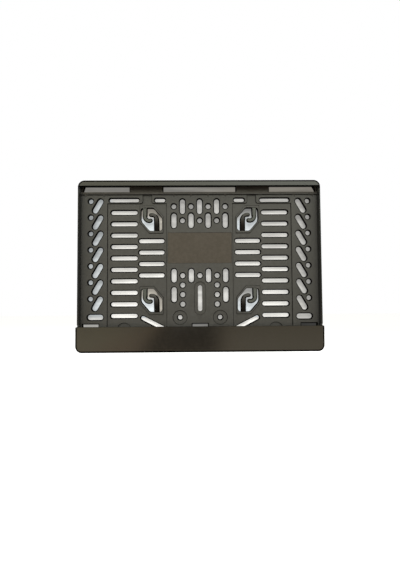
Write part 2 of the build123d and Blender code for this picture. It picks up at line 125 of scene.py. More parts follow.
@dataclass
class Graph:
    """A node tree that nodes are added to and linked in."""

    tree: bpy.types.NodeTree

    def node(self, kind: str, settings: dict | None = None, **inputs: object) -> bpy.types.Node:
        """Add a node and fill its inputs.

        Args:
            kind: The node's type, without the ShaderNode prefix.
            settings: Attributes of the node itself.
            inputs: Values or output sockets, by input name with spaces as underscores.

        Returns:
            The new node.
        """
        made = self.tree.nodes.new("ShaderNode" + kind)
        for name, value in (settings or {}).items():
            setattr(made, name, value)
        for name, value in inputs.items():
            self.fill(made.inputs[name.replace("_", " ")], value)
        return made

    def fill(self, socket: bpy.types.NodeSocket, value: object) -> None:
        """Link an output socket to an input, or set the input's own value.

        Args:
            socket: The input socket.
            value: An output socket or a constant.
        """
        if isinstance(value, bpy.types.NodeSocket):
            self.tree.links.new(value, socket)
        else:
            socket.default_value = value

    def math(self, operation: str, *values: object) -> bpy.types.NodeSocket:
        """Combine up to three values.

        Args:
            operation: Blender's name of the operation.
            values: Constants or output sockets.

        Returns:
            The result's socket.
        """
        made = self.node("Math", {"operation": operation})
        for socket, value in zip(made.inputs, values):
            self.fill(socket, value)
        return made.outputs[0]

    def joined(self, operation: str, first: object, *others: object) -> bpy.types.NodeSocket:
        """Combine any number of values, one after the other.

        Args:
            operation: Blender's name of the operation.
            first: A constant or an output socket.
            others: The other constants or output sockets.

        Returns:
            The result's socket.
        """
        for other in others:
            first = self.math(operation, first, other)
        return first

    def inverse(self, mask: object) -> bpy.types.NodeSocket:
        """Give what a mask leaves out."""
        return self.math("SUBTRACT", 1.0, mask)

    def ramp(self, value: object, span: Span) -> bpy.types.NodeSocket:
        """Map a span of a value smoothly to its results.

        Args:
            value: The value's socket.
            span: The span and its results.

        Returns:
            The result's socket.
        """
        made = self.node("MapRange", {"interpolation_type": "SMOOTHSTEP"})
        self.fill(made.inputs["Value"], value)
        ends = {"From Min": span.low, "From Max": span.high, "To Min": span.start, "To Max": span.end}
        for name, constant in ends.items():
            made.inputs[name].default_value = constant
        return made.outputs["Result"]

    def attribute(self, name: str) -> bpy.types.NodeSocket:
        """Give the value of a face attribute."""
        return self.node("Attribute", {"attribute_name": name}).outputs["Fac"]

    def parts(self, coordinates: str) -> bpy.types.Node:
        """Give the node with the X, Y and Z parts of a kind of coordinates."""
        return self.node("SeparateXYZ", Vector=self.node("TexCoord").outputs[coordinates])

    def blend(self, factor: object, first: object, second: object) -> bpy.types.NodeSocket:
        """Mix two colours.

        Args:
            factor: Share of the second colour.
            first: A colour or an output socket.
            second: A colour or an output socket.

        Returns:
            The mixed colour's socket.
        """
        made = self.node("Mix", {"data_type": "RGBA"})
        self.fill(made.inputs[0], factor)
        self.fill(made.inputs[MIX_FIRST], first)
        self.fill(made.inputs[MIX_SECOND], second)
        return made.outputs[MIX_RESULT]

    def scaled(self, colour: object, strength: object) -> bpy.types.NodeSocket:
        """Make a colour stronger or weaker.

        Args:
            colour: The colour's socket.
            strength: A constant or an output socket.

        Returns:
            The scaled colour's socket.
        """
        made = self.node("VectorMath", {"operation": "SCALE"}, Scale=strength)
        self.fill(made.inputs[0], colour)
        return made.outputs[0]

    def sum(self, first: object, second: object) -> bpy.types.NodeSocket:
        """Add two colours.

        Args:
            first: The first colour's socket.
            second: The second colour's socket.

        Returns:
            The sum's socket.
        """
        made = self.node("VectorMath", {"operation": "ADD"})
        self.fill(made.inputs[0], first)
        self.fill(made.inputs[1], second)
        return made.outputs[0]


@dataclass
class EffectGroup:
    """A shader node group shared by the finishes."""

    name: str
    inputs: dict[str, tuple[Socket, float | None]]
    outputs: tuple[str, ...]
    tree: bpy.types.NodeTree = field(init=False)

    def __post_init__(self) -> None:
        """Make the empty group with its sockets."""
        self.tree = bpy.data.node_groups.new(self.name, "ShaderNodeTree")
        for name, (kind, default) in self.inputs.items():
            socket = self.tree.interface.new_socket(name=name, in_out="INPUT", socket_type=kind.value)
            if default is not None:
                socket.default_value = default
        for name in self.outputs:
            self.tree.interface.new_socket(name=name, in_out="OUTPUT", socket_type=Socket.VALUE.value)

    def open(self) -> tuple[Graph, bpy.types.Node, bpy.types.Node]:
        """Give the group's graph with its input and output nodes."""
        graph = Graph(self.tree)
        return graph, self.tree.nodes.new("NodeGroupInput"), self.tree.nodes.new("NodeGroupOutput")


# How the shared effects read their noise
PITS = Span(0.1, 0.75, 1.0, 0.0)
HAZE = Span(0.35, 0.7)
HAZE_SHARE = 0.5
MOTTLE = Span(0.35, 0.65)
STREAK_TURN = math.radians(24.0)
STREAK_STRETCH = (1.0, 1.0, 26.0)
STREAK_LINES = Span(0.69, 0.76)
STREAK_PATCHES = Span(0.45, 0.62)
WEAR_HIGHLIGHT_PATCHES = Span(0.3, 0.68, 0.25, 1.0)


def mould_grain_group() -> EffectGroup:
    """Build the fine pitted grain of a moulded surface.

    Returns:
        The group, with the grain's height.
    """
    group = EffectGroup(
        "mould_grain",
        {
            "Vector": (Socket.VECTOR, None),
            "Grain Scale": (Socket.VALUE, 1500.0),
            "Pit Share": (Socket.VALUE, 0.5),
        },
        ("Height",),
    )
    graph, ins, outs = group.open()
    place, scale = ins.outputs["Vector"], ins.outputs["Grain Scale"]
    coarse = graph.node("TexNoise", Vector=place, Scale=scale, Detail=3.0)
    cells = graph.node("TexVoronoi", Vector=place, Scale=scale)
    pits = graph.ramp(cells.outputs["Distance"], PITS)
    depth = graph.math("MULTIPLY", pits, ins.outputs["Pit Share"])
    graph.fill(outs.inputs["Height"], graph.math("SUBTRACT", coarse.outputs[0], depth))
    return group


def handling_group() -> EffectGroup:
    """Build the haze and the fine rubbed streaks that handling leaves on plastic.

    Returns:
        The group, with a cloudy haze mask, a finer mottle and a mask of thin scratches.
    """
    group = EffectGroup(
        "handling_marks",
        {
            "Vector": (Socket.VECTOR, None),
            "Haze Scale": (Socket.VALUE, 18.0),
            "Mottle Scale": (Socket.VALUE, 240.0),
            "Streak Scale": (Socket.VALUE, 60.0),
        },
        ("Haze", "Mottle", "Scratches"),
    )
    graph, ins, outs = group.open()
    place, streak_scale = ins.outputs["Vector"], ins.outputs["Streak Scale"]
    cloud = graph.node("TexNoise", Vector=place, Scale=ins.outputs["Haze Scale"], Detail=5.0)
    haze = graph.math("MULTIPLY", graph.ramp(cloud.outputs[0], HAZE), HAZE_SHARE)
    speckle = graph.node("TexNoise", Vector=place, Scale=ins.outputs["Mottle Scale"], Detail=4.0)
    mottle = graph.ramp(speckle.outputs[0], MOTTLE)
    turned = graph.node("Mapping", Vector=place)
    turned.inputs["Rotation"].default_value = (0.0, STREAK_TURN, 0.0)
    turned.inputs["Scale"].default_value = STREAK_STRETCH
    streak = graph.node("TexNoise", Vector=turned.outputs[0], Scale=streak_scale, Detail=2.0)
    patches = graph.node("TexNoise", Vector=place, Scale=streak_scale, Detail=1.0)
    lines = graph.ramp(streak.outputs[0], STREAK_LINES)
    scratches = graph.math("MULTIPLY", lines, graph.ramp(patches.outputs[0], STREAK_PATCHES))
    graph.fill(outs.inputs["Haze"], graph.math("MULTIPLY_ADD", mottle, 1.0 - HAZE_SHARE, haze))
    graph.fill(outs.inputs["Mottle"], mottle)
    graph.fill(outs.inputs["Scratches"], scratches)
    return group


def edge_wear_highlight_group() -> EffectGroup:
    """Build the uneven lighter colour along rounded edges: rubbed wear and a painted edge highlight.

    Returns:
        The group, with one mask of worn and highlighted edge.
    """
    group = EffectGroup(
        "edge_wear",
        {"Vector": (Socket.VECTOR, None), "Edge": (Socket.VALUE, 0.0), "Patch Scale": (Socket.VALUE, 90.0)},
        ("Worn",),
    )
    graph, ins, outs = group.open()
    place, scale = ins.outputs["Vector"], ins.outputs["Patch Scale"]
    patch = graph.node("TexNoise", Vector=place, Scale=scale, Detail=4.0)
    uneven = graph.ramp(patch.outputs[0], WEAR_HIGHLIGHT_PATCHES)
    graph.fill(outs.inputs["Worn"], graph.math("MULTIPLY", uneven, ins.outputs["Edge"]))
    return group


@dataclass(frozen=True)
class Effects:
    """The shared groups."""

    grain: EffectGroup
    handling: EffectGroup
    edges: EffectGroup


@dataclass(frozen=True)
class PaintedEdgeShade:
    """A painted band of shade along a piece's outer edge, which runs round two corners at its top or bottom.
    """

    half_width: float
    reach: float
    radius: float
    width: float
    points_up: bool
    start: float
    front: float
    softness: float = 0.1 * MM

    def mask(self, graph: Graph, spot: bpy.types.Node) -> bpy.types.NodeSocket:
        """Give the band's mask.

        Args:
            graph: The material's graph.
            spot: The node that gives the place's parts.

        Returns:
            The mask's socket.
        """
        aside = graph.math("ABSOLUTE", spot.outputs["X"])
        rise = graph.math("MULTIPLY", spot.outputs["Z"], 1.0 if self.points_up else -1.0)
        past_side = graph.math("MAXIMUM", graph.math("SUBTRACT", aside, self.half_width - self.radius), 0.0)
        past_end = graph.math("MAXIMUM", graph.math("SUBTRACT", rise, self.reach - self.radius), 0.0)
        side_square = graph.math("MULTIPLY", past_side, past_side)
        distance = graph.math("SQRT", graph.math("MULTIPLY_ADD", past_end, past_end, side_square))
        inner = self.radius - self.width
        return graph.joined(
            "MULTIPLY",
            graph.ramp(distance, Span(inner - self.softness, inner)),
            graph.ramp(rise, Span(self.start - self.softness, self.start)),
            graph.ramp(spot.outputs["Y"], Span(-self.front - self.softness, -self.front, 1.0, 0.0)),
        )


@dataclass(frozen=True)
class MouldedPlastic:
    """A moulded plastic finish, textured on the panel and polished on the rim's front."""

    name: str
    dark: Colour
    light: Colour
    # Lighter colour of scratches and of the rounded edges, where it is rubbed wear and a painted edge
    # highlight
    wear_highlight: Colour
    roughness: float
    haze_roughness: float
    grain_scale: float
    pit_share: float
    grain_height: float
    grain_strength: float
    specular: float
    polish_and_wall_shade: Colour
    polish_roughness: float
    # Painted dark band of shade along the piece's outer edge
    edge_shade_band: PaintedEdgeShade
    # Painted shade: near-black colour without reflection on the faces marked shaded, along the outer edge and
    # at the up-fingers' roots
    shade: Colour = (0.004, 0.0037, 0.0032, 1.0)
    shade_specular: float = 0.0
    shade_roughness: float = 0.9
    # Painted shade: colour and share of the up-fingers' fronts towards their deep roots
    root: Colour = (0.009, 0.006, 0.0045, 1.0)
    root_depth: Span = Span(-7.4 * MM, -4.5 * MM)
    root_shade: float = 0.7
    # Painted light: a lighter colour on the down-fingers' fronts, which lean up towards the light
    lit_down_finger: Colour = (0.066, 0.07, 0.062, 1.0)
    # Painted shade under the lip: a darker colour at the top of the panel
    under_lip_shade: Colour = (0.016, 0.0125, 0.01, 1.0)
    under_lip_shade_height: Span = Span(104.5 * MM, 106.0 * MM)
    side_wall_shade: Span = Span(126.0 * MM, 150.0 * MM, 0.0, 0.34)
    top_wall_shade: Span = Span(80.0 * MM, 102.0 * MM, 0.0, 0.34)
    scratch_share: float = 0.35
    bare_dark: Colour = (0.0455, 0.0368, 0.0275, 1.0)
    bare_light: Colour = (0.0595, 0.049, 0.0385, 1.0)

    def material(self, effects: Effects) -> bpy.types.Material:
        """Build the finish.

        Args:
            effects: The shared groups.

        Returns:
            The material.
        """
        made = bpy.data.materials.new(self.name)
        made.use_nodes = True
        graph = Graph(made.node_tree)
        shader = made.node_tree.nodes["Principled BSDF"]
        place = graph.node("TexCoord").outputs["Object"]
        spot = graph.node("SeparateXYZ", Vector=place)
        grain = self.group_node(graph, effects.grain, place)
        grain.inputs["Grain Scale"].default_value = self.grain_scale
        grain.inputs["Pit Share"].default_value = self.pit_share
        marks = self.group_node(graph, effects.handling, place)
        wear_and_highlight = self.group_node(graph, effects.edges, place)
        graph.fill(wear_and_highlight.inputs["Edge"], graph.attribute(WEAR_HIGHLIGHT))
        textured = graph.attribute(TEXTURED)
        # Painted shade: the up-fingers' fronts darken towards their deep roots
        depth = graph.ramp(spot.outputs["Y"], self.root_depth)
        root_shading = graph.math("MULTIPLY", graph.attribute(UP_FINGER), depth)
        # Painted shade: black without reflection on the faces marked shaded, in the band along the outer edge
        # and at the up-fingers' deep roots
        shaded = graph.joined(
            "MAXIMUM",
            graph.attribute(SHADED),
            self.edge_shade_band.mask(graph, spot),
            graph.math("MULTIPLY", root_shading, self.root_shade),
        )
        colour = graph.blend(root_shading, self.panel_colour(graph, marks, spot), self.root)
        colour = graph.blend(textured, self.polish_and_wall_shade, colour)
        scratched = graph.math("MULTIPLY", marks.outputs["Scratches"], self.scratch_share)
        colour = graph.blend(scratched, colour, self.wear_highlight)
        # Lighter rounded edges: rubbed wear and a painted edge highlight
        colour = graph.blend(wear_and_highlight.outputs["Worn"], colour, self.wear_highlight)
        rough = graph.ramp(marks.outputs["Haze"], Span(0.0, 1.0, self.roughness, self.haze_roughness))
        smooth = graph.math("MULTIPLY", graph.inverse(textured), self.polish_roughness)
        rough = graph.math("MULTIPLY_ADD", rough, textured, smooth)
        rough = graph.math("MAXIMUM", rough, graph.math("MULTIPLY", shaded, self.shade_roughness))
        shine = shader.inputs["Specular IOR Level"]
        shine.default_value = self.specular
        graph.fill(shine, graph.ramp(shaded, Span(0.0, 1.0, self.specular, self.shade_specular)))
        height = graph.math("MULTIPLY", grain.outputs["Height"], textured)
        bump = graph.node("Bump", Height=height, Strength=self.grain_strength, Distance=self.grain_height)
        graph.fill(shader.inputs["Base Color"], graph.blend(shaded, colour, self.shade))
        graph.fill(shader.inputs["Roughness"], rough)
        graph.fill(shader.inputs["Normal"], bump.outputs["Normal"])
        return made

    def panel_colour(self, graph: Graph, marks: bpy.types.Node, spot: bpy.types.Node) -> bpy.types.NodeSocket:
        """Give the panel's colour: its own colour and bare field, with painted shade near the side walls, the
        top and under the lip, and painted light on the down-fingers.

        Args:
            graph: The material's graph.
            marks: The handling marks' node.
            spot: The node that gives the place's parts.

        Returns:
            The colour's socket.
        """
        colour = graph.blend(marks.outputs["Haze"], self.dark, self.light)
        bare = graph.blend(marks.outputs["Mottle"], self.bare_dark, self.bare_light)
        colour = graph.blend(graph.attribute(BARE), colour, bare)
        # Painted shade: darker towards the side walls and the top, blended towards the polished colour
        near_side = graph.ramp(graph.math("ABSOLUTE", spot.outputs["X"]), self.side_wall_shade)
        near_top = graph.ramp(spot.outputs["Z"], self.top_wall_shade)
        colour = graph.blend(graph.math("MAXIMUM", near_side, near_top), colour, self.polish_and_wall_shade)
        # Painted shade under the lip: darker at the top of the panel
        colour = graph.blend(graph.ramp(spot.outputs["Z"], self.under_lip_shade_height), colour, self.under_lip_shade)
        # Painted light on the down-fingers' fronts
        return graph.blend(graph.attribute(DOWN_FINGER), colour, self.lit_down_finger)

    @staticmethod
    def group_node(graph: Graph, group: EffectGroup, place: bpy.types.NodeSocket) -> bpy.types.Node:
        """Place a shared group in a material and give it the object's coordinates.

        Args:
            graph: The material's graph.
            group: The shared group.
            place: The coordinates' socket.

        Returns:
            The group's node.
        """
        made = graph.node("Group", {"node_tree": group.tree})
        graph.fill(made.inputs["Vector"], place)
        return made


@dataclass(frozen=True)
class FrontRim:
    """Edges between a front surface and the walls that run back from it, and how they are rounded."""

    radius: float
    front: float
    back: float
    least_wall: float = 0.0
    most_wall: float = 1.0
    wall: Wall = Wall.SQUARE
    aside: tuple[float, float] = (-1.0, 1.0)
    top: float = 1.0
    steps: int = 3

    def holds(self, edge: bmesh.types.BMEdge) -> bool:
        """Tell whether an outward edge is one of these.

        Args:
            edge: The edge.

        Returns:
            True if its wall and its place are within the limits.
        """
        face, wall = sorted(edge.link_faces, key=lambda side: side.normal.y)
        place = edge.verts[0].co
        if face.normal.y > FRONT_FACING or not self.back < -place.y < self.front:
            return False
        if place.z > self.top or not self.aside[0] < abs(place.x) < self.aside[1]:
            return False
        if self.wall is Wall.CHAMFER:
            return wall.normal.y < -UPRIGHT_WALL
        sloping = face.normal.y > LEVEL_FRONT
        if abs(wall.normal.y) > UPRIGHT_WALL or sloping != (self.wall is Wall.FINGER):
            return False
        depths = [-vert.co.y for vert in wall.verts]
        return self.least_wall < max(depths) - min(depths) < self.most_wall


@dataclass(frozen=True)
class TexturedZone:
    """The surfaces that carry the mould's texture: fronts between two depths, and all that faces back."""

    front: float
    back: float
    top: float
    wall_front: float = 0.0

    def holds(self, face: bmesh.types.BMFace) -> bool:
        """Tell whether a face is textured.

        Args:
            face: The face.

        Returns:
            True on the textured surfaces.
        """
        middle = face.calc_center_median()
        if face.normal.y >= FRONT_FACING:
            return face.normal.y > UPRIGHT_WALL or -middle.y < self.wall_front
        return self.back < -middle.y < self.front and middle.z < self.top


@dataclass(frozen=True)
class ShadedZone:
    """The surfaces painted black as shade: walls of holes, broken outer edges and the lip's underside."""

    panel_front: float
    rim_back: float
    panel_back: float = 0.0
    half_width: float = 1.0
    half_height: float = 1.0
    lip_bottom: float = 0.0
    web_low: float = 0.0
    web_high: float = 0.0
    web_back: float = 0.0

    def holds(self, face: bmesh.types.BMFace) -> bool:
        """Tell whether a face stays dark.

        Args:
            face: The face.

        Returns:
            True on walls within the panel, on the rim's broken edges and under the lip.
        """
        middle = face.calc_center_median()
        if not FRONT_FACING <= face.normal.y <= UPRIGHT_WALL:
            return False
        if -middle.y < self.panel_front:
            web = self.web_low < middle.z < self.web_high and -middle.y > self.web_back
            outer = abs(middle.x) > self.half_width or abs(middle.z) > self.half_height
            return -middle.y > self.panel_back and not web and not outer
        under_lip = middle.z > self.lip_bottom and face.normal.z < -UPRIGHT_WALL
        return -middle.y > self.rim_back and (face.normal.y < -UPRIGHT_WALL or under_lip)


@dataclass(frozen=True)
class BareField:
    """The plain field in the middle of the panel, between two depths and two sides."""

    front: float
    back: float
    half_width: float

    def holds(self, face: bmesh.types.BMFace) -> bool:
        """Tell whether a face belongs to the field.

        Args:
            face: The face.

        Returns:
            True on the field's front surface.
        """
        middle = face.calc_center_median()
        level = self.back < -middle.y < self.front
        return face.normal.y < FRONT_FACING and level and abs(middle.x) < self.half_width


@dataclass(frozen=True)
class SlopingFront:
    """Front surfaces of the sprung fingers that lean one way."""

    leans_up: bool
    least_lean: float = 0.03

    def holds(self, face: bmesh.types.BMFace) -> bool:
        """Tell whether a face is the front of such a finger.

        Args:
            face: The face.

        Returns:
            True if it faces forward and leans the right way.
        """
        lean = face.normal.z if self.leans_up else -face.normal.z
        return face.normal.y < FRONT_FACING and lean > self.least_lean


@dataclass(frozen=True)
class CloseCorners:
    """Corners that lie too close together to be rounded apart, between two distances from the middle."""

    left: float
    right: float
    distance: float
    bottom: float = -1.0

    def join(self, shape: bmesh.types.BMesh) -> None:
        """Join the close corners.

        Args:
            shape: The shape that the corners belong to.
        """
        beside = [vert for vert in shape.verts if self.left < abs(vert.co.x) < self.right]
        corners = [vert for vert in beside if vert.co.z > self.bottom]
        bmesh.ops.remove_doubles(shape, verts=corners, dist=self.distance)
        loose = [face for face in shape.faces if any(len(edge.link_faces) == 1 for edge in face.edges)]
        bmesh.ops.delete(shape, geom=loose, context="FACES")


@dataclass
class Moulding:
    """A moulded piece: the solid's own surface with its edges rounded."""

    node: str
    name: str
    slot: str
    edge_radius: float
    edge_steps: int = 2
    rims: tuple[FrontRim, ...] = ()
    textured: TexturedZone | None = None
    shaded: ShadedZone | None = None
    bare: BareField | None = None
    up_fingers: SlopingFront | None = None
    down_fingers: SlopingFront | None = None
    close_corners: tuple[CloseCorners, ...] = ()
    merge_distance: float = 0.002 * MM
    flat_angle: float = math.radians(0.4)
    sharp_angle: float = math.radians(35.0)

    def build(self, source: bpy.types.Object, material: bpy.types.Material) -> bpy.types.Object:
        """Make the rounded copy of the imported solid, dress it and let it stand for the solid.

        Args:
            source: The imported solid's object.
            material: The finish.

        Returns:
            The new piece.
        """
        shape = bmesh.new()
        shape.from_mesh(source.data)
        bmesh.ops.remove_doubles(shape, verts=shape.verts, dist=self.merge_distance)
        bmesh.ops.dissolve_limit(
            shape,
            angle_limit=self.flat_angle,
            use_dissolve_boundaries=False,
            verts=shape.verts,
            edges=shape.edges,
            delimit=set(),
        )
        for corners in self.close_corners:
            corners.join(shape)
        self.round_edges(shape)
        mesh = bpy.data.meshes.new(self.name)
        shape.to_mesh(mesh)
        shape.free()
        if "custom_normal" in mesh.attributes:
            mesh.attributes.remove(mesh.attributes["custom_normal"])
        mesh.materials.clear()
        mesh.materials.append(material)
        piece = bpy.data.objects.new(self.name, mesh)
        bpy.context.scene.collection.objects.link(piece)
        flatten = piece.modifiers.new("flat_faces", "WEIGHTED_NORMAL")
        flatten.keep_sharp = True
        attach(piece, BODY)
        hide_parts(self.node)
        return piece

    def round_edges(self, shape: bmesh.types.BMesh) -> None:
        """Bevel the outward edges, mark them for wear and a painted edge highlight, and keep the inward ones
        crisp.

        Args:
            shape: The merged solid.
        """
        wear_highlight = shape.faces.layers.float.new(WEAR_HIGHLIGHT)
        zones = (
            (TEXTURED, self.textured),
            (SHADED, self.shaded),
            (BARE, self.bare),
            (UP_FINGER, self.up_fingers),
            (DOWN_FINGER, self.down_fingers),
        )
        layers = [(shape.faces.layers.float.new(name), zone) for name, zone in zones]
        for rim in self.rims:
            self.bevel(shape, [e for e in self.outward(shape) if rim.holds(e)], rim.radius, rim.steps)
        for face in self.bevel(shape, self.outward(shape), self.edge_radius, self.edge_steps):
            face[wear_highlight] = 1.0
        bmesh.ops.dissolve_degenerate(shape, dist=self.merge_distance, edges=shape.edges)
        for face in shape.faces:
            face.smooth = True
            for layer, zone in layers:
                if zone is not None and zone.holds(face):
                    face[layer] = 1.0
        for edge in shape.edges:
            if edge.is_manifold and not edge.is_convex and edge.calc_face_angle() > self.sharp_angle:
                edge.smooth = False

    def outward(self, shape: bmesh.types.BMesh) -> list[bmesh.types.BMEdge]:
        """Give the sharp outward edges of a shape."""
        sharp = [e for e in shape.edges if e.is_manifold and e.calc_face_angle() > self.sharp_angle]
        return [e for e in sharp if e.is_convex]

    @staticmethod
    def bevel(
        shape: bmesh.types.BMesh, edges: list[bmesh.types.BMEdge], radius: float, steps: int
    ) -> list[bmesh.types.BMFace]:
        """Round edges.

        Args:
            shape: The shape that the edges belong to.
            edges: The edges.
            radius: How far the rounding reaches.
            steps: Its number of segments.

        Returns:
            The new faces.
        """
        made = bmesh.ops.bevel(
            shape,
            geom=edges,
            offset=radius,
            offset_type="OFFSET",
            segments=steps,
            profile=0.5,
            affect="EDGES",
            clamp_overlap=False,
            loop_slide=False,
            material=-1,
        )
        shape.normal_update()
        return made["faces"]


@dataclass(frozen=True)
class PhotoCamera:
    """The camera at the photograph's viewing point."""

    place: Vector
    yaw: float
    pitch: float
    roll: float
    focal_pixels: float
    image_height: float = 570.0
    sensor: float = 36.0
    nearest: float = 0.01
    farthest: float = 50.0

    def build(self) -> None:
        """Make the camera and give it to the scene."""
        data = bpy.data.cameras.new("photo_camera")
        data.sensor_width = self.sensor
        data.lens = self.sensor * self.focal_pixels / self.image_height
        data.clip_start = self.nearest
        data.clip_end = self.farthest
        camera = bpy.data.objects.new("photo_camera", data)
        aim = (
            Matrix.Rotation(self.yaw, 4, "Z")
            @ Matrix.Rotation(self.pitch, 4, "X")
            @ Matrix.Rotation(self.roll, 4, "Y")
            @ Matrix.Rotation(math.radians(90.0), 4, "X")
        )
        camera.matrix_world = Matrix.Translation(self.place) @ aim
        bpy.context.scene.collection.objects.link(camera)
        bpy.context.scene.camera = camera


@dataclass(frozen=True)
class Softbox:
    """A soft rectangular lamp that is aimed at the middle of the holder."""

    name: str
    place: Vector
    width: float
    height: float
    power: float

    def build(self) -> None:
        """Make the lamp."""
        data = bpy.data.lights.new(self.name, "AREA")
        data.shape = "RECTANGLE"
        data.size = self.width
        data.size_y = self.height
        data.energy = self.power
        lamp = bpy.data.objects.new(self.name, data)
        lamp.location = self.place
        lamp.rotation_mode = "QUATERNION"
        lamp.rotation_quaternion = (-self.place).to_track_quat("-Z", "Y")
        lamp.visible_glossy = False
        bpy.context.scene.collection.objects.link(lamp)


def ray_mask(graph: Graph, *rays: Ray) -> bpy.types.NodeSocket:
    """Give a mask of some kinds of ray."""
    path = graph.node("LightPath")
    return graph.joined("MAXIMUM", *(path.outputs[ray.value] for ray in rays))


@dataclass
class StagePanel:
    """A flat panel of the stage with a material of its own."""

    name: str
    finish: str
    corners: list[Vector]
    piece: bpy.types.Object = field(init=False)
    graph: Graph = field(init=False)
    out: bpy.types.Node = field(init=False)

    def __post_init__(self) -> None:
        """Make the panel, whose corners turn its front towards the viewer, and its empty material."""
        shape = bmesh.new()
        shape.faces.new([shape.verts.new(corner) for corner in self.corners])
        mesh = bpy.data.meshes.new(self.name)
        shape.to_mesh(mesh)
        shape.free()
        self.piece = bpy.data.objects.new(self.name, mesh)
        bpy.context.scene.collection.objects.link(self.piece)
        self.piece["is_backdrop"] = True
        material = bpy.data.materials.new(self.finish)
        material.use_nodes = True
        material.node_tree.nodes.clear()
        mesh.materials.append(material)
        self.graph = Graph(material.node_tree)
        self.out = self.graph.node("OutputMaterial")

    def added(self, first: bpy.types.Node, second: bpy.types.Node) -> bpy.types.Node:
        """Add two shaders.

        Args:
            first: The first shader's node.
            second: The second shader's node.

        Returns:
            The sum's node.
        """
        both = self.graph.node("AddShader")
        self.graph.fill(both.inputs[0], first.outputs[0])
        self.graph.fill(both.inputs[1], second.outputs[0])
        return both

    def show(self, shader: bpy.types.Node, share: bpy.types.NodeSocket | None = None) -> None:
        """Give the panel its shader, clear where a share is 0.

        Args:
            shader: The shader's node.
            share: Mask of what shows, or None if all does.
        """
        if share is not None:
            mix = self.graph.node("MixShader")
            self.graph.fill(mix.inputs[0], share)
            self.graph.fill(mix.inputs[1], self.graph.node("BsdfTransparent").outputs[0])
            self.graph.fill(mix.inputs[2], shader.outputs[0])
            shader = mix
        self.graph.fill(self.out.inputs["Surface"], shader.outputs[0])


@dataclass(frozen=True)
class Surroundings:
    """Even light on the holder, white to the eye, with a brighter band above and below in reflections."""

    ahead: Span = Span(-0.35, 0.3, 1.0, 0.1)
    ambient: Span = Span(-0.6, 0.6, 0.12, 0.75)
    soft_tint: tuple[float, float, float] = (1.0, 0.97, 0.86)
    room_level: float = 0.55
    room_across: Span = Span(-0.2, 0.2)
    room_left: Colour = (0.95, 1.0, 0.98, 1.0)
    room_right: Colour = (1.0, 0.92, 0.72, 1.0)
    below_top: Span = Span(-0.1, -0.04, 0.55, 0.0)
    below_bottom: Span = Span(-0.5, -0.3)
    sky_across: Span = Span(-0.25, 0.2)
    sky_left: Colour = (1.05, 0.98, 0.62, 1.0)
    sky_right: Colour = (1.65, 1.75, 1.5, 1.0)
    above_bottom: Span = Span(0.2, 0.3, 0.0, 1.75)
    above_top: Span = Span(0.45, 0.7, 1.0, 0.1)

    def build(self) -> None:
        """Light the holder evenly, and show white to the eye."""
        world = bpy.data.worlds.new("white_surroundings")
        world.use_nodes = True
        bpy.context.scene.world = world
        graph = Graph(world.node_tree)
        seen = ray_mask(graph, Ray.CAMERA, Ray.TRANSMISSION)
        glossy = ray_mask(graph, Ray.GLOSSY)
        way = graph.parts("Generated")
        across, rise = way.outputs["X"], way.outputs["Z"]
        ahead = graph.ramp(way.outputs["Y"], self.ahead)
        soft = graph.scaled(self.soft_tint, graph.math("MULTIPLY", graph.ramp(rise, self.ambient), ahead))
        below = graph.math("MULTIPLY", graph.ramp(rise, self.below_top), graph.ramp(rise, self.below_bottom))
        above = graph.math("MULTIPLY", graph.ramp(rise, self.above_bottom), graph.ramp(rise, self.above_top))
        room = graph.blend(graph.ramp(across, self.room_across), self.room_left, self.room_right)
        room = graph.scaled(room, graph.math("ADD", below, self.room_level))
        sky = graph.blend(graph.ramp(across, self.sky_across), self.sky_left, self.sky_right)
        mirrored = graph.scaled(graph.sum(room, graph.scaled(sky, above)), ahead)
        unseen = graph.blend(glossy, soft, mirrored)
        background = world.node_tree.nodes["Background"]
        graph.fill(background.inputs["Color"], graph.blend(seen, unseen, WHITE))


@dataclass(frozen=True)
class Floor:
    """The pale floor, which reflections show as a warm bench far in front."""

    drop: float = 0.12
    size: float = 6.0
    colour: Colour = (0.45, 0.45, 0.44, 1.0)
    glow: float = 0.82
    near: Span = Span(-0.5, -0.25)
    left: Colour = (1.5, 1.25, 0.7, 1.0)
    left_edge: Span = Span(-0.45, -0.3)
    middle: Colour = (1.22, 0.78, 0.38, 1.0)
    right_edge: Span = Span(-0.1, 0.25)
    right: Colour = (0.96, 0.76, 0.45, 1.0)

    def build(self, low: Vector) -> None:
        """Lay the floor below the holder.

        Args:
            low: Lowest corner of the holder.
        """
        z = low.z - self.drop
        half = self.size / 2
        outline = ((-half, -half), (half, -half), (half, half), (-half, half))
        panel = StagePanel("floor", "pale_floor", [Vector((x, y, z)) for x, y in outline])
        graph = panel.graph
        seen = ray_mask(graph, Ray.CAMERA, Ray.GLOSSY, Ray.TRANSMISSION)
        mirrored = ray_mask(graph, Ray.GLOSSY)
        place = graph.parts("Object")
        across = place.outputs["X"]
        near = graph.math("MULTIPLY", mirrored, graph.ramp(place.outputs["Y"], self.near))
        strength = graph.math("MULTIPLY", graph.math("SUBTRACT", seen, near), self.glow)
        tint = graph.blend(graph.ramp(across, self.left_edge), self.left, self.middle)
        tint = graph.blend(graph.ramp(across, self.right_edge), tint, self.right)
        glow = graph.node("Emission", Color=graph.blend(mirrored, WHITE, tint), Strength=strength)
        panel.show(panel.added(graph.node("BsdfDiffuse", Color=self.colour), glow))


